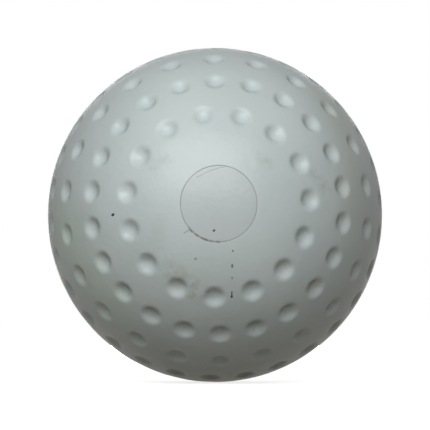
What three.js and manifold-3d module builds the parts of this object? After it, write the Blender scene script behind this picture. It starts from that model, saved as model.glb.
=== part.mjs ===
// Dimpled field hockey ball.
//
// A hollow core, moulded as two cups that lap at the equator, sits inside a seamless dimpled cover.
// The core is held on a spigot while the cover is moulded round it. A plug then closes the hole
// that the spigot leaves at the front pole, with its stem in the socket that held the spigot.
//
// Millimetres, +Z up. The origin is the ball's centre, and the plug faces the front, along -Y.

import * as THREE from "three";
import { ConvexGeometry } from "three/addons/geometries/ConvexGeometry.js";
import { mergeVertices } from "three/addons/utils/BufferGeometryUtils.js";
import Module from "manifold-3d";

const wasm = await Module();
wasm.setup();

// Driving dimensions
const BALL_DIAMETER = 73; // 229 mm round: the game allows 224 to 235 mm
const COVER_WALL = 6; // from the ball's surface to the cavity that holds the core
const CORE_WALL = 5;
const CORE_LAP = 3; // height of the lip that laps the core's two halves
const PLUG_DIAMETER = 15.2;
const STEM_DIAMETER = 8;
const STEM_LENGTH = 5; // from the core's outer surface to the end of the stem
const STEM_CHAMFER = 0.8;
const SOCKET_WALL = 2.5; // boss round the socket, inside the hollow
const SOCKET_FLOOR = 2.5;
const DIMPLE_DIAMETER = 5.4; // to the outside of the rounded lip
const DIMPLE_LIP = 1; // width of the rounded lip
const DIMPLE_DEPTH = 1;

// Clearances
const FIT_GAP = 0.3; // core in cavity, lip on lip, stem in socket
const SEAM_GAP = 0.15; // plug in the cover's hole, on the radius

// Rings of dimples on the front half and the equator. polar is the angle from the front pole, and
// start is where the first dimple lies, clockwise from the top as seen from the front, in degrees.
// The rear half mirrors the front.
const EQUATOR = 90;
const RINGS = [
  { polar: 30.4, count: 15, start: 14.3 },
  { polar: 45.2, count: 22, start: 15.2 },
  { polar: 60.4, count: 22, start: 15.2 },
  { polar: 75, count: 30, start: 14 },
  { polar: EQUATOR, count: 30, start: 14 },
];

// Fineness of the faceted surfaces
const ROUND_SEGMENTS = 32;
const ARC_STEP = 11.25; // degrees
const DIMPLE_SIDES = 8;
const SKIN_STEP = 4.2; // spacing of the points on the smooth skin between the dimples
const HOLE_MARGIN = 0.6; // skin left whole round the hole's edge

const ballRadius = BALL_DIAMETER / 2;
const cavityRadius = ballRadius - COVER_WALL;
const coreRadius = cavityRadius - FIT_GAP;
const hollowRadius = coreRadius - CORE_WALL;
const lapRadius = coreRadius - CORE_WALL / 2;
const plugRadius = PLUG_DIAMETER / 2;
const holeRadius = plugRadius + SEAM_GAP;
const stemRadius = STEM_DIAMETER / 2;
const socketRadius = stemRadius + FIT_GAP;
const stemEnd = coreRadius - STEM_LENGTH;
const socketEnd = stemEnd - FIT_GAP;
const dimpleRadius = DIMPLE_DIAMETER / 2;
const bowlRadius = dimpleRadius - DIMPLE_LIP;

const FRONT = new THREE.Vector3(0, -1, 0);
const { degToRad, radToDeg } = THREE.MathUtils;

// Solids and joins

function solidOf(geometry) {
  const bare = geometry.clone();
  bare.deleteAttribute("normal");
  bare.deleteAttribute("uv");
  const merged = mergeVertices(bare, 1e-4);
  const corners = merged.index.array;
  const kept = [];
  for (let i = 0; i < corners.length; i += 3) {
    const [a, b, c] = corners.slice(i, i + 3);
    const collapsed = a === b || b === c || c === a;
    if (!collapsed) kept.push(a, b, c);
  }
  return new wasm.Manifold(
    new wasm.Mesh({
      numProp: 3,
      vertProperties: merged.attributes.position.array,
      triVerts: new Uint32Array(kept),
    }),
  );
}

function geometryOf(solid) {
  const { vertProperties, triVerts } = solid.getMesh();
  const geometry = new THREE.BufferGeometry();
  geometry.setAttribute("position", new THREE.BufferAttribute(vertProperties, 3));
  geometry.setIndex(new THREE.BufferAttribute(triVerts, 1));
  geometry.computeVertexNormals();
  return geometry;
}

// Profiles: [radius, height] pairs, with height measured along the pole axis towards the front.
// A profile runs from the front, round the outside, to the rear.

function heightOn(sphereRadius, radius) {
  return Math.sqrt(sphereRadius ** 2 - radius ** 2);
}

function polarAtRadius(sphereRadius, radius) {
  return radToDeg(Math.asin(radius / sphereRadius));
}

function polarAtHeight(sphereRadius, height) {
  return radToDeg(Math.acos(height / sphereRadius));
}

function arc(sphereRadius, fromPolar, toPolar) {
  const steps = Math.ceil(Math.abs(toPolar - fromPolar) / ARC_STEP);
  return Array.from({ length: steps + 1 }, (_, i) => {
    const polar = degToRad(THREE.MathUtils.lerp(fromPolar, toPolar, i / steps));
    return [sphereRadius * Math.sin(polar), sphereRadius * Math.cos(polar)];
  });
}

function revolve(profile) {
  const points = profile.map(([radius, height]) => new THREE.Vector2(Math.max(radius, 0), -height));
  return new THREE.LatheGeometry(points, ROUND_SEGMENTS);
}

// Dimples

function direction(polar, bearing) {
  const p = degToRad(polar);
  const b = degToRad(bearing);
  return new THREE.Vector3(Math.sin(p) * Math.sin(b), -Math.cos(p), Math.sin(p) * Math.cos(b));
}

function dimpleCentres() {
  const rear = RINGS.filter(({ polar }) => polar < EQUATOR).map((ring) => ({
    ...ring,
    polar: 2 * EQUATOR - ring.polar,
  }));
  return [...RINGS, ...rear].flatMap(({ polar, count, start }) =>
    Array.from({ length: count }, (_, i) => direction(polar, start + (360 * i) / count)),
  );
}

// Depth of the skin below the ball's surface, at a distance along it from a dimple's centre:
// a round bowl that runs into a rounded lip without a break.
function dimpleDepth(distance) {
  if (distance >= dimpleRadius) return 0;
  if (distance > bowlRadius) {
    return (DIMPLE_DEPTH * (dimpleRadius - distance) ** 2) / (dimpleRadius * DIMPLE_LIP);
  }
  return DIMPLE_DEPTH * (1 - distance ** 2 / (dimpleRadius * bowlRadius));
}

function nearestDistance(point, centres) {
  return ballRadius * Math.min(...centres.map((centre) => centre.angleTo(point)));
}

// Directions on a dimple: its middle, then staggered rings in the bowl, at its edge and on the rim.
function dimpleDirections(centre) {
  const side = new THREE.Vector3().crossVectors(FRONT, centre).normalize();
  const away = new THREE.Vector3().crossVectors(centre, side);
  const found = [centre];
  [bowlRadius / 2, bowlRadius, dimpleRadius].forEach((radius, ring) => {
    const angle = radius / ballRadius;
    for (let i = 0; i < DIMPLE_SIDES; i++) {
      const turn = (2 * Math.PI * (i + (ring % 2) / 2)) / DIMPLE_SIDES;
      found.push(
        centre
          .clone()
          .multiplyScalar(Math.cos(angle))
          .addScaledVector(side, Math.sin(angle) * Math.cos(turn))
          .addScaledVector(away, Math.sin(angle) * Math.sin(turn)),
      );
    }
  });
  return found;
}

// Directions on the smooth skin: a ring round the plug's hole, and rows wherever no dimple is near.
function smoothDirections(centres) {
  const found = [FRONT];
  const holeEdge = polarAtRadius(ballRadius, holeRadius + HOLE_MARGIN);
  for (let i = 0; i < ROUND_SEGMENTS; i++) {
    found.push(direction(holeEdge, (360 * (i + 0.5)) / ROUND_SEGMENTS));
  }
  const rows = Math.round((Math.PI * ballRadius) / SKIN_STEP);
  for (let row = 1; row <= rows; row++) {
    const polar = (180 * row) / rows;
    const round = 2 * Math.PI * ballRadius * Math.sin(degToRad(polar));
    const count = Math.max(1, Math.round(round / SKIN_STEP));
    const pastHole = ballRadius * degToRad(polar - holeEdge) > SKIN_STEP / 2;
    for (let i = 0; i < count; i++) {
      const point = direction(polar, (360 * i) / count);
      const pastDimples = nearestDistance(point, centres) > dimpleRadius + SKIN_STEP / 2;
      if (pastHole && pastDimples) found.push(point);
    }
  }
  return found;
}

// Wraps the directions in triangles on the ball's sphere, then sinks each corner to the dimples' depth.
function dimpledBall() {
  const centres = dimpleCentres();
  const directions = [...centres.flatMap(dimpleDirections), ...smoothDirections(centres)];
  const skin = new ConvexGeometry(directions.map((d) => d.clone().multiplyScalar(ballRadius)));
  const corners = skin.getAttribute("position");
  const corner = new THREE.Vector3();
  for (let i = 0; i < corners.count; i++) {
    corner.fromBufferAttribute(corners, i);
    corner.setLength(ballRadius - dimpleDepth(nearestDistance(corner, centres)));
    corners.setXYZ(i, corner.x, corner.y, corner.z);
  }
  return skin;
}

// Pieces

function coverGeometry() {
  const cavity = revolve(arc(cavityRadius, 0, 180));
  const hole = revolve([
    [0, ballRadius + COVER_WALL],
    [holeRadius, ballRadius + COVER_WALL],
    [holeRadius, 0],
    [0, 0],
  ]);
  return geometryOf(solidOf(dimpledBall()).subtract(solidOf(cavity)).subtract(solidOf(hole)));
}

function plugGeometry() {
  return revolve([
    ...arc(ballRadius, 0, polarAtRadius(ballRadius, plugRadius)),
    ...arc(cavityRadius, polarAtRadius(cavityRadius, plugRadius), polarAtRadius(cavityRadius, stemRadius)),
    [stemRadius, stemEnd + STEM_CHAMFER],
    [stemRadius - STEM_CHAMFER, stemEnd],
    [0, stemEnd],
  ]);
}

function coreFrontGeometry() {
  const bossRadius = socketRadius + SOCKET_WALL;
  const lipSeat = CORE_LAP + FIT_GAP;
  return revolve([
    [0, socketEnd],
    [socketRadius, socketEnd],
    ...arc(coreRadius, polarAtRadius(coreRadius, socketRadius), EQUATOR),
    [lapRadius, 0],
    [lapRadius, lipSeat],
    ...arc(hollowRadius, polarAtHeight(hollowRadius, lipSeat), polarAtRadius(hollowRadius, bossRadius)),
    [bossRadius, socketEnd - SOCKET_FLOOR],
    [0, socketEnd - SOCKET_FLOOR],
  ]);
}

function coreRearGeometry() {
  const lipRadius = lapRadius - FIT_GAP;
  const shoulder = -FIT_GAP;
  return revolve([
    ...arc(hollowRadius, 180, polarAtHeight(hollowRadius, CORE_LAP)),
    [lipRadius, CORE_LAP],
    [lipRadius, shoulder],
    ...arc(coreRadius, polarAtHeight(coreRadius, shoulder), 180),
  ]);
}

// Materials

const coverPlastic = new THREE.MeshStandardMaterial({ color: 0xd0d8d7, roughness: 0.42, metalness: 0 });
const plugPlastic = new THREE.MeshStandardMaterial({ color: 0xd1d7d4, roughness: 0.5, metalness: 0 });
const corePlastic = new THREE.MeshStandardMaterial({ color: 0x8b8f8c, roughness: 0.6, metalness: 0 });

// Assembly

const ball = new THREE.Group();

function addPiece(name, geometry, material) {
  const piece = new THREE.Mesh(geometry, material);
  piece.name = name;
  ball.add(piece);
}

addPiece("dimpled_cover", coverGeometry(), coverPlastic);
addPiece("pole_plug", plugGeometry(), plugPlastic);
addPiece("core_front_half", coreFrontGeometry(), corePlastic);
addPiece("core_rear_half", coreRearGeometry(), corePlastic);

export default ball;
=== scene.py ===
"""The looks of a dimpled field hockey ball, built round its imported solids.

Metres, in the solids' frame: +Z up, the plug faces the front (-Y), the origin is the ball's centre.
"""

import math

import bpy
import numpy as np
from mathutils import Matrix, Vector


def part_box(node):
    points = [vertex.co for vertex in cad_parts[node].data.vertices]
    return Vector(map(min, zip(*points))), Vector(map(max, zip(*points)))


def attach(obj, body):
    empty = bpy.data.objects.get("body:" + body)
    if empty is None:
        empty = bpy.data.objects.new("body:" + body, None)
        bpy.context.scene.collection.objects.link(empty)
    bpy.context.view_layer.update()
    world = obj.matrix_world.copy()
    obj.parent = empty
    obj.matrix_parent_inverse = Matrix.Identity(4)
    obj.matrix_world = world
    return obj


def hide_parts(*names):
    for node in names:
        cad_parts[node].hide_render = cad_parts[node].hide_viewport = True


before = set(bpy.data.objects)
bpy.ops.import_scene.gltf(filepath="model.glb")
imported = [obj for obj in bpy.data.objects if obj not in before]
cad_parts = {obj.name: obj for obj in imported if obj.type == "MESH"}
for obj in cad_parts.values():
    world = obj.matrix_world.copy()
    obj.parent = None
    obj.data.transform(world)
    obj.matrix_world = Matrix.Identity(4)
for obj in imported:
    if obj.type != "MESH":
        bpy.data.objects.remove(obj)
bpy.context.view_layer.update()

MM = 0.001

# Sizes that the solids give
cover_low, cover_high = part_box("dimpled_cover")
plug_low, plug_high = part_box("pole_plug")
core_low, core_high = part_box("core_rear_half")
BALL_RADIUS = (cover_high.x - cover_low.x) / 2
PLUG_RADIUS = (plug_high.x - plug_low.x) / 2
CORE_RADIUS = (core_high.x - core_low.x) / 2
STEM_END = -plug_high.y

# Sizes that the solids share but their boxes don't show
FIT_GAP = 0.3 * MM
STEM_RADIUS = 4 * MM
STEM_CHAMFER = 0.8 * MM
CAVITY_RADIUS = CORE_RADIUS + FIT_GAP

# The seam round the plug: a tight joint between two softly rounded edges
SEAM_GAP = 0.03 * MM
EDGE_ROUND = 0.06 * MM
HOLE_RADIUS = PLUG_RADIUS + SEAM_GAP

# Dimples. A ring has its angle from the front pole, how many dimples it holds, and where the first
# one lies, clockwise from the top as seen from the front. The rear half mirrors the front.
DIMPLE_DIAMETER = 5.4 * MM
DIMPLE_LIP = 1 * MM
DIMPLE_DEPTH = 1 * MM
EQUATOR = 90
REAR_POLE = 180
RINGS = [
    (30.4, 15, 14.3),
    (45.2, 22, 15.2),
    (60.4, 22, 15.2),
    (75, 30, 14.0),
    (EQUATOR, 30, 14.0),
]

# Marks of use on the front, and two wide patches of painted light and shade. A stroke has its two ends,
# in millimetres to the right of the pole and above it, half its width in millimetres, and its strength.
INK_MARKS = [
    (-21.3, -1.9, -21.1, -1.8, 0.38, 1),
    (-1, -5.4, -0.9, -5.3, 0.3, 0.9),
    (-4.6, -10.9, -4.5, -10.9, 0.32, 0.5),
    (2.8, -9.4, 2.8, -9.3, 0.22, 0.8),
    (2.7, -12.5, 2.7, -12.1, 0.25, 0.8),
    (2.7, -14.7, 2.7, -14.6, 0.26, 0.5),
    (2.7, -18.3, 2.7, -17.4, 0.17, 1),
    (2.7, -18.4, 2.7, -18.2, 0.31, 1),
    (-6.8, -5.8, -5.9, -5.2, 0.15, 0.4),
    (-5.9, -5.2, -5.3, -5.7, 0.15, 0.4),
]
DIRT_LINES = [
    (-4.4, 5.2, -1.4, 6.7, 0.12, 0.5),
    (-1.4, 6.7, 1.2, 7.4, 0.12, 0.5),
]
SMUDGES = [
    (-9, -13.5, -4.5, -17.5, 4, 0.6),
    (19.5, 6.5, 22, 3.5, 2.5, 0.4),
    (8, 9.5, 10, 8, 1.8, 0.4),
    (-13, 8, -10, 9, 2, 0.3),
]
# A green bounce light painted on the lower left, and a darker, warmer painted shade on the upper right.
PAINTED_LIGHT_AND_SHADE = [  # painted light and shade, wide and faint, each a stroke and its colour as 0 to 255
    ((-32, -4, -22, -19.5, 10, 0.6), (205, 221, 206)),
    ((23.5, 22, 28.5, 2, 9, 0.6), (201, 204, 197)),
]

# Dirt in the seam. A width is where the line starts to fade and where it ends, from the seam's middle.
SEAM_LINE_WIDTH = (0.05 * MM, 0.2 * MM)
SEAM_LINE_STRENGTH = 0.12
DIRTY_SEAM = (-2.8, -7)  # the middle of the seam's dirty part, in millimetres as above
DIRTY_REACH = (2.5 * MM, 5 * MM)
DIRTY_WIDTH = (0.08 * MM, 0.35 * MM)
DIRTY_STRENGTH = 0.8
BLOTCH_SIZE = 0.8 * MM
BLOTCH_LIMITS = (0.38, 0.68)
BLOTCH_LEAST = 0.3

# Stray specks on the sides and the rear
STRAY_SPECK = 0.3 * MM
STRAY_SPACING = 9 * MM
STRAY_START = (-0.5 * BALL_RADIUS, -0.3 * BALL_RADIUS)  # along Y, where they set in

# White plastic. Colours are written as 0 to 255, and limits are where a noise starts and ends to show.
COVER_COLOURS = ((208, 216, 215), (202, 211, 210))
PLUG_COLOURS = ((202, 208, 208), (196, 203, 203))
SCUFF_COLOUR = (172, 176, 164)
DIRT_COLOUR = (118, 106, 88)
INK_COLOUR = (30, 31, 30)
NOISE_LIMITS = (0.3, 0.7)
TONE_SIZE = 14 * MM
SCUFF_SIZE = 10 * MM
SCUFF_LIMITS = (0.58, 0.78)
SCUFF_STRENGTH = 0.15
SMUDGE_GRAIN = 1.5 * MM
SMUDGE_SOFTNESS = 0.9
DIRT_SOFTNESS = 0.8
INK_SOFTNESS = 0.6
# How softly the edges of the painted light and shade patches fade.
PAINTED_LIGHT_SOFTNESS = 1
WAVE_SIZE = 4 * MM
BUMP_SIZE = 1 * MM
BUMP_SHARE = 0.35
BUMP_DEPTH = 0.09 * MM
GLOSS_SIZE = 3 * MM
GLOSS_LIMITS = (0.2, 0.8)
ROUGHNESS = (0.38, 0.5)
COAT = {"Coat Weight": 0.35, "Coat IOR": 1.8, "Coat Roughness": 0.3}

# The core's grey polymer
CORE_COLOURS = ((132, 136, 133), (146, 149, 146))
CORE_GRAIN = 0.8 * MM
CORE_BUMP = {"Strength": 0.2, "Distance": 0.05 * MM}
CORE_ROUGHNESS = 0.6

# Fineness of the meshes
SKIN_STEP = 0.5  # degrees between rows
INSIDE_STEP = 3  # degrees, inside the cover
UNDER_STEP = 2  # degrees, under the plug's face
SKIN_POINTS = 768  # in a row over the dimples
SMOOTH_CAP = 22  # degrees round a pole without dimples, where rows have fewer points
LEAST_POINTS = 12
PLUG_POINTS = 192
ROUND_STEPS = 5
POINT_RADIUS = 1e-6 * MM  # a row with a smaller radius is one point

# The photograph's view
IMAGE_WIDTH = 430
VIEW_AZIMUTH = -1.2
VIEW_ELEVATION = -3.6
VIEW_DISTANCE = 10 * BALL_RADIUS
FOCAL_PIXELS = 1662
SENSOR = 36

# The floor and the world. What they show is white, and the light that they give is dim and warm.
WHITE = (1, 1, 1, 1)
FLOOR_HALF = 4
SHADOW_REACH = 0.15
FLOOR_GLOW = 0.75  # at the ball, where it leaves room for the shadow
FLOOR_PALE = (0.9, 0.9, 0.9, 1)
FLOOR_BOUNCE = (0.13, 0.125, 0.11, 1)
FLOOR_FILL = {"Color": (1, 0.8, 0.58, 1), "Strength": 0.052}
WORLD_FILL = {"Color": (1, 0.86, 0.66, 1), "Strength": 0.03}


# Meshes made of rows of points, from the front pole to the rear one

def direction(polar, bearing):
    """Unit vectors at an angle from the front pole and a bearing clockwise from the top, in radians."""
    bearing = np.asarray(bearing, float)
    across = np.sin(polar) * np.sin(bearing)
    along = np.full_like(bearing, -np.cos(polar))
    up = np.sin(polar) * np.cos(bearing)
    return np.stack([across, along, up], axis=-1)


def turns(count):
    return 2 * np.pi * np.arange(count) / count


def round_row(radius, height, count):
    """A circle round the pole axis, at a height towards the front."""
    if radius < POINT_RADIUS:
        return np.array([[0, -height, 0]])
    bearing = turns(count)
    return np.stack([radius * np.sin(bearing), np.full(count, -height), radius * np.cos(bearing)], axis=-1)


def bridge(first, second):
    """Faces between two rows, given as lists of point numbers. One row may have half the other's points."""
    a, b = len(first), len(second)
    if a == 1:
        return [(first[0], second[(i + 1) % b], second[i]) for i in range(b)]
    if b == 1:
        return [(first[i], first[(i + 1) % a], second[0]) for i in range(a)]
    if a == b:
        return [(first[i], first[(i + 1) % a], second[(i + 1) % b], second[i]) for i in range(a)]
    faces = []
    for i in range(min(a, b)):
        if a > b:
            start, middle, end = (first[(2 * i + k) % a] for k in range(3))
            here, there = second[i], second[(i + 1) % b]
            faces += [(start, middle, here), (middle, there, here), (middle, end, there)]
        else:
            start, middle, end = (second[(2 * i + k) % b] for k in range(3))
            here, there = first[i], first[(i + 1) % a]
            faces += [(here, middle, start), (here, there, middle), (there, end, middle)]
    return faces


def add_piece(name, rows, material, node):
    """A smooth mesh through the rows, which stands for a node of the solids."""
    numbers = []
    total = 0
    for row in rows:
        numbers.append(list(range(total, total + len(row))))
        total += len(row)
    faces = [face for pair in zip(numbers, numbers[1:]) for face in bridge(*pair)]
    mesh = bpy.data.meshes.new(name)
    mesh.from_pydata(np.concatenate(rows).tolist(), [], faces)
    mesh.shade_smooth()
    mesh.materials.append(material)
    piece = bpy.data.objects.new(name, mesh)
    bpy.context.scene.collection.objects.link(piece)
    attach(piece, "root")
    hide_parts(node)


# The dimpled skin

def dimple_centres():
    rear = [(REAR_POLE - polar, count, start) for polar, count, start in RINGS if polar < EQUATOR]
    return np.concatenate(
        [direction(math.radians(p), math.radians(start) + turns(count)) for p, count, start in RINGS + rear]
    )


def dimple_depth(distance):
    """Depth at a distance from a dimple's centre: a round bowl that runs into a rounded lip."""
    rim = DIMPLE_DIAMETER / 2
    bowl = rim - DIMPLE_LIP
    in_bowl = DIMPLE_DEPTH * (1 - distance**2 / (rim * bowl))
    on_lip = DIMPLE_DEPTH * (rim - distance) ** 2 / (rim * DIMPLE_LIP)
    return np.where(distance <= bowl, in_bowl, np.where(distance < rim, on_lip, 0))


CENTRES = dimple_centres()


def skin_row(polar_degrees):
    cap = min(polar_degrees, REAR_POLE - polar_degrees)
    count = SKIN_POINTS
    limit = SMOOTH_CAP
    while cap < limit and count > LEAST_POINTS:
        count //= 2
        limit /= 2
    if cap < SKIN_STEP / 2:
        count = 1
    out = direction(math.radians(polar_degrees), turns(count))
    distance = BALL_RADIUS * np.arccos(np.clip((out @ CENTRES.T).max(axis=1), -1, 1))
    return out * (BALL_RADIUS - dimple_depth(distance))[:, None]


# Profiles: (radius, height) points, with height towards the front

def height_on(sphere_radius, radius):
    return math.sqrt(sphere_radius**2 - radius**2)


def arc(sphere_radius, start, end, step):
    steps = max(1, round(abs(end - start) / step))
    angles = np.radians(np.linspace(start, end, steps + 1))
    return [(sphere_radius * math.sin(a), sphere_radius * math.cos(a)) for a in angles]


def polar_at(sphere_radius, radius):
    return math.degrees(math.asin(radius / sphere_radius))


def rounded_edge(radius, outwards):
    """A quarter round between the ball's face and an upright wall, from the wall to the face."""
    centre_radius = radius + outwards * EDGE_ROUND
    centre_height = height_on(BALL_RADIUS - EDGE_ROUND, centre_radius)
    tilt = math.asin(centre_radius / (BALL_RADIUS - EDGE_ROUND))
    points = []
    for i in range(ROUND_STEPS + 1):
        turn = -outwards * math.pi / 2 * (1 - i / ROUND_STEPS) + tilt * i / ROUND_STEPS
        points.append(
            (centre_radius + EDGE_ROUND * math.sin(turn), centre_height + EDGE_ROUND * math.cos(turn))
        )
    return points


# Materials

def add_node(tree, kind, inputs=None, **settings):
    """A shader node. An input is a value or another node's output."""
    made = tree.nodes.new(kind)
    for name, value in settings.items():
        setattr(made, name, value)
    for socket, value in (inputs or {}).items():
        if isinstance(value, bpy.types.NodeSocket):
            tree.links.new(value, made.inputs[socket])
        else:
            made.inputs[socket].default_value = value
    return made


def new_material(name):
    material = bpy.data.materials.new(name)
    material.use_nodes = True
    tree = material.node_tree
    tree.nodes.clear()
    return material, tree


def linear(colour):
    """A colour written as 0 to 255, for a shader socket, by the sRGB curve."""
    shares = [value / 255 for value in colour]
    return (*(s / 12.92 if s <= 0.04045 else ((s + 0.055) / 1.055) ** 2.4 for s in shares), 1)


def noise(tree, place, size, detail):
    """Soft noise from 0 to 1 with features of about that size."""
    made = add_node(tree, "ShaderNodeTexNoise", {"Vector": place, "Scale": 1 / size, "Detail": detail})
    return made.outputs["Fac"]


def ramp(tree, value, low, high, to_low=0.0, to_high=1.0):
    """A value carried smoothly from one range to another, and held at its ends."""
    return add_node(
        tree,
        "ShaderNodeMapRange",
        {"Value": value, "From Min": low, "From Max": high, "To Min": to_low, "To Max": to_high},
        interpolation_type="SMOOTHSTEP",
    ).outputs["Result"]


def blend(tree, share, first, second):
    """A colour between two others."""
    colour = add_node(tree, "ShaderNodeMix", {0: share, 6: first, 7: second}, data_type="RGBA")
    return colour.outputs[2]


def calculate(tree, operation, *values):
    return add_node(tree, "ShaderNodeMath", dict(enumerate(values)), operation=operation).outputs[0]


def vector(tree, operation, inputs):
    return add_node(tree, "ShaderNodeVectorMath", inputs, operation=operation).outputs["Vector"]


def vector_value(tree, operation, *vectors):
    """A number worked out from vectors, such as a length."""
    made = add_node(tree, "ShaderNodeVectorMath", dict(enumerate(vectors)), operation=operation)
    return made.outputs["Value"]


def on_front(right, up):
    """A place on the ball's front, given in millimetres from the pole."""
    right, up = right * MM, up * MM
    return Vector((right, -math.sqrt(BALL_RADIUS**2 - right**2 - up**2), up))


def strongest(tree, shares):
    share = shares[0]
    for other in shares[1:]:
        share = calculate(tree, "MAXIMUM", share, other)
    return share


def stroke(tree, place, mark, softness):
    """The mark's strength along a straight stroke, and 0 away from it."""
    start = on_front(*mark[:2])
    along = on_front(*mark[2:4]) - start
    half_width, strength = mark[4] * MM, mark[5]
    offset = vector(tree, "SUBTRACT", {0: place, 1: start})
    reach = vector_value(tree, "DOT_PRODUCT", offset, along / along.length_squared)
    reach = add_node(tree, "ShaderNodeClamp", {"Value": reach}).outputs[0]
    nearest = vector(tree, "SCALE", {0: along, "Scale": reach})
    distance = vector_value(tree, "DISTANCE", offset, nearest)
    return ramp(tree, distance, half_width * (1 - softness), half_width, strength, 0)


def strokes(tree, place, marks, softness):
    return strongest(tree, [stroke(tree, place, mark, softness) for mark in marks])


def stray_specks(tree, place):
    """A few specks scattered over the sides and the rear."""
    cells = add_node(tree, "ShaderNodeTexVoronoi", {"Vector": place, "Scale": 1 / STRAY_SPACING})
    size = STRAY_SPECK / STRAY_SPACING
    near = ramp(tree, cells.outputs["Distance"], size / 2, size, 1, 0)
    depth = add_node(tree, "ShaderNodeSeparateXYZ", {0: place}).outputs["Y"]
    return calculate(tree, "MULTIPLY", near, ramp(tree, depth, *STRAY_START))


def seam_dirt(tree, place):
    """A thin grey line of dirt in the seam round the plug, thicker and blotchy in one part."""
    seam_polar = math.asin(PLUG_RADIUS / BALL_RADIUS)
    seam_reach = 2 * BALL_RADIUS * math.sin(seam_polar / 2)
    reach = vector_value(tree, "DISTANCE", place, on_front(0, 0))
    off_seam = calculate(tree, "ABSOLUTE", calculate(tree, "SUBTRACT", reach, seam_reach))
    thin = ramp(tree, off_seam, *SEAM_LINE_WIDTH, SEAM_LINE_STRENGTH, 0)
    thick = ramp(tree, off_seam, *DIRTY_WIDTH, 1, 0)
    away = vector_value(tree, "DISTANCE", place, on_front(*DIRTY_SEAM))
    blotches = ramp(tree, noise(tree, place, BLOTCH_SIZE, 3), *BLOTCH_LIMITS, BLOTCH_LEAST, 1)
    patch = calculate(tree, "MULTIPLY", ramp(tree, away, *DIRTY_REACH, DIRTY_STRENGTH, 0), blotches)
    return strongest(tree, [thin, calculate(tree, "MULTIPLY", thick, patch)])


def white_plastic(name, pale, dull):
    """Satin white plastic, slightly uneven and marked by use, with two wide patches of painted light and
    shade.
    """
    material, tree = new_material(name)
    place = add_node(tree, "ShaderNodeTexCoord").outputs["Object"]
    scuffs = ramp(tree, noise(tree, place, SCUFF_SIZE, 6), *SCUFF_LIMITS, 0, SCUFF_STRENGTH)
    grain = ramp(tree, noise(tree, place, SMUDGE_GRAIN, 5), *NOISE_LIMITS)
    smudges = calculate(tree, "MULTIPLY", strokes(tree, place, SMUDGES, SMUDGE_SOFTNESS), grain)
    dirt = strongest(tree, [seam_dirt(tree, place), strokes(tree, place, DIRT_LINES, DIRT_SOFTNESS)])
    ink = strongest(tree, [strokes(tree, place, INK_MARKS, INK_SOFTNESS), stray_specks(tree, place)])
    tone = ramp(tree, noise(tree, place, TONE_SIZE, 4), *NOISE_LIMITS)
    colour = blend(tree, tone, linear(pale), linear(dull))
    # Painted light and shade: a green bounce light on the lower left and a darker, warmer shade on the
    # upper right.
    for mark, tint in PAINTED_LIGHT_AND_SHADE:
        colour = blend(tree, stroke(tree, place, mark, PAINTED_LIGHT_SOFTNESS), colour, linear(tint))
    colour = blend(tree, strongest(tree, [scuffs, smudges]), colour, linear(SCUFF_COLOUR))
    colour = blend(tree, dirt, colour, linear(DIRT_COLOUR))
    colour = blend(tree, ink, colour, linear(INK_COLOUR))
    waves = noise(tree, place, WAVE_SIZE, 2)
    unevenness = calculate(tree, "MULTIPLY_ADD", noise(tree, place, BUMP_SIZE, 3), BUMP_SHARE, waves)
    bump = add_node(tree, "ShaderNodeBump", {"Height": unevenness, "Strength": 1, "Distance": BUMP_DEPTH})
    roughness = ramp(tree, noise(tree, place, GLOSS_SIZE, 3), *GLOSS_LIMITS, *ROUGHNESS)
    shader = add_node(
        tree,
        "ShaderNodeBsdfPrincipled",
        {
            "Base Color": colour,
            "Roughness": roughness,
            "Normal": bump.outputs["Normal"],
            "Specular IOR Level": 0,  # the coat gives the gloss
            "Coat Normal": bump.outputs["Normal"],
            **COAT,
        },
    )
    add_node(tree, "ShaderNodeOutputMaterial", {"Surface": shader.outputs["BSDF"]})
    return material


def core_plastic():
    """Plain grey polymer with a faint grain."""
    material, tree = new_material("core_plastic")
    place = add_node(tree, "ShaderNodeTexCoord").outputs["Object"]
    grain = noise(tree, place, CORE_GRAIN, 4)
    colour = blend(tree, grain, *(linear(tone) for tone in CORE_COLOURS))
    bump = add_node(tree, "ShaderNodeBump", {"Height": grain, **CORE_BUMP})
    shader = add_node(
        tree,
        "ShaderNodeBsdfPrincipled",
        {"Base Color": colour, "Roughness": CORE_ROUGHNESS, "Normal": bump.outputs["Normal"]},
    )
    add_node(tree, "ShaderNodeOutputMaterial", {"Surface": shader.outputs["BSDF"]})
    return material


# Pieces

def add_cover():
    material = white_plastic("cover_plastic", *COVER_COLOURS)
    hole_polar = polar_at(CAVITY_RADIUS, HOLE_RADIUS)
    edge = rounded_edge(HOLE_RADIUS, 1)
    inside = arc(CAVITY_RADIUS, REAR_POLE, hole_polar, INSIDE_STEP)
    counts = [SKIN_POINTS // 8] * (len(inside) - 2) + [SKIN_POINTS // 4, SKIN_POINTS // 2]
    rows = [round_row(r, h, n) for (r, h), n in zip(inside, counts)]
    rows += [round_row(r, h, SKIN_POINTS // 2) for r, h in edge]
    first = polar_at(BALL_RADIUS, edge[-1][0])
    steps = round((REAR_POLE - first) / SKIN_STEP)
    rows += [skin_row(polar) for polar in np.linspace(first, REAR_POLE, steps + 1)[1:]]
    add_piece("cover_skin", rows, material, "dimpled_cover")


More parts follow.
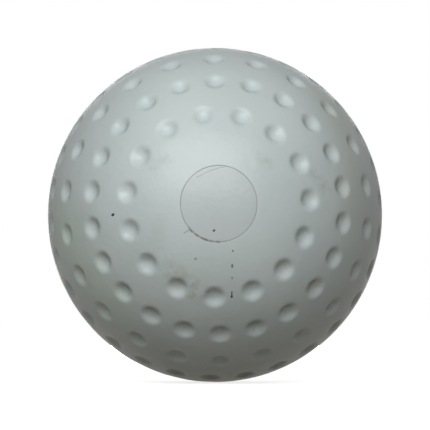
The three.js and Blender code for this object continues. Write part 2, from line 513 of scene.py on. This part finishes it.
def add_plug():
    material = white_plastic("plug_plastic", *PLUG_COLOURS)
    edge = rounded_edge(PLUG_RADIUS, -1)[::-1]
    face = arc(BALL_RADIUS, 0, polar_at(BALL_RADIUS, edge[0][0]), SKIN_STEP)[:-1]
    under_start = polar_at(CAVITY_RADIUS, PLUG_RADIUS)
    under_end = polar_at(CAVITY_RADIUS, STEM_RADIUS)
    under = arc(CAVITY_RADIUS, under_start, under_end, UNDER_STEP)
    stem = [
        (STEM_RADIUS, STEM_END + STEM_CHAMFER),
        (STEM_RADIUS - STEM_CHAMFER, STEM_END),
        (0, STEM_END),
    ]
    rows = [round_row(r, h, PLUG_POINTS) for r, h in face + edge + under + stem]
    add_piece("plug_face", rows, material, "pole_plug")


def finish_core():
    material = core_plastic()
    for name in ("core_front_half", "core_rear_half"):
        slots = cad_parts[name].data.materials
        slots.clear()
        slots.append(material)


# Stage

def seen_directly(tree):
    """1 for rays that show the background, directly or in gloss and glass, and 0 for the light it gives."""
    path = add_node(tree, "ShaderNodeLightPath").outputs
    return strongest(tree, [path[f"Is {kind} Ray"] for kind in ("Camera", "Glossy", "Transmission")])


def shown_and_given(tree, shown, given):
    """A shader that looks like one shader and lights the ball like another."""
    made = add_node(
        tree,
        "ShaderNodeMixShader",
        {0: seen_directly(tree), 1: given.outputs[0], 2: shown.outputs[0]},
    )
    return made.outputs[0]


def floor_material():
    """White away from the ball, with the ball's soft shadow near it."""
    material, tree = new_material("floor")
    place = add_node(tree, "ShaderNodeTexCoord").outputs["Object"]
    away = vector_value(tree, "LENGTH", place)
    strength = ramp(tree, away, 0, SHADOW_REACH, FLOOR_GLOW, 1)
    glow = add_node(tree, "ShaderNodeEmission", {"Color": WHITE, "Strength": strength})
    pale = add_node(tree, "ShaderNodeBsdfDiffuse", {"Color": FLOOR_PALE})
    shown = add_node(tree, "ShaderNodeAddShader", {0: glow.outputs[0], 1: pale.outputs[0]})
    bounce = add_node(tree, "ShaderNodeBsdfDiffuse", {"Color": FLOOR_BOUNCE})
    fill = add_node(tree, "ShaderNodeEmission", FLOOR_FILL)
    given = add_node(tree, "ShaderNodeAddShader", {0: bounce.outputs[0], 1: fill.outputs[0]})
    add_node(tree, "ShaderNodeOutputMaterial", {"Surface": shown_and_given(tree, shown, given)})
    return material


def add_floor():
    mesh = bpy.data.meshes.new("floor")
    corners = [(-1, -1), (1, -1), (1, 1), (-1, 1)]
    mesh.from_pydata([(x * FLOOR_HALF, y * FLOOR_HALF, 0) for x, y in corners], [], [(0, 1, 2, 3)])
    mesh.materials.append(floor_material())
    floor = bpy.data.objects.new("floor", mesh)
    floor.location.z = -BALL_RADIUS
    bpy.context.scene.collection.objects.link(floor)


def set_world():
    world = bpy.data.worlds.new("studio")
    world.use_nodes = True
    tree = world.node_tree
    tree.nodes.clear()
    shown = add_node(tree, "ShaderNodeBackground", {"Color": WHITE, "Strength": 1})
    given = add_node(tree, "ShaderNodeBackground", WORLD_FILL)
    add_node(tree, "ShaderNodeOutputWorld", {"Surface": shown_and_given(tree, shown, given)})
    bpy.context.scene.world = world


def view_direction(azimuth, elevation):
    """Unit vector towards a place round the ball. Azimuth 0 is the front, and it grows to the right."""
    a, e = math.radians(azimuth), math.radians(elevation)
    return Vector((math.sin(a) * math.cos(e), -math.cos(a) * math.cos(e), math.sin(e)))


def add_light(name, azimuth, elevation, distance, width, height, watts, colour=WHITE[:3]):
    """A softbox that faces the ball's centre."""
    lamp = bpy.data.lights.new(name, "AREA")
    lamp.shape = "RECTANGLE"
    lamp.size = width
    lamp.size_y = height
    lamp.energy = watts
    lamp.color = colour
    light = bpy.data.objects.new(name, lamp)
    place = view_direction(azimuth, elevation)
    light.location = place * distance
    light.rotation_euler = place.to_track_quat("Z", "Y").to_euler()
    light.visible_camera = False
    bpy.context.scene.collection.objects.link(light)


def add_lights():
    """A key in front, wide lamps behind that light the rim, and a narrow one that lights the rear alone."""
    cool_white = (0.945, 0.99, 1)
    add_light("key", -7.5, 27, distance=0.19, width=0.18, height=0.12, watts=0.266, colour=cool_white)
    add_light("rear", 180, 8, distance=0.5, width=0.35, height=0.35, watts=1.05)
    add_light("rear_right", 150, 8, distance=0.5, width=0.35, height=0.35, watts=0.06)
    add_light("back", 180, 5, distance=0.5, width=0.16, height=0.16, watts=0.9)


def add_camera():
    camera = bpy.data.cameras.new("photo_view")
    camera.sensor_width = SENSOR
    camera.lens = FOCAL_PIXELS / IMAGE_WIDTH * SENSOR
    camera.clip_start = 0.01
    camera.clip_end = 20
    eye = bpy.data.objects.new("photo_view", camera)
    back = view_direction(VIEW_AZIMUTH, VIEW_ELEVATION)
    eye.location = back * VIEW_DISTANCE
    eye.rotation_euler = back.to_track_quat("Z", "Y").to_euler()
    bpy.context.scene.collection.objects.link(eye)
    bpy.context.scene.camera = eye


bpy.context.scene.view_settings.view_transform = "Standard"
add_camera()
add_cover()
add_plug()
finish_core()
add_floor()
set_world()
add_lights()
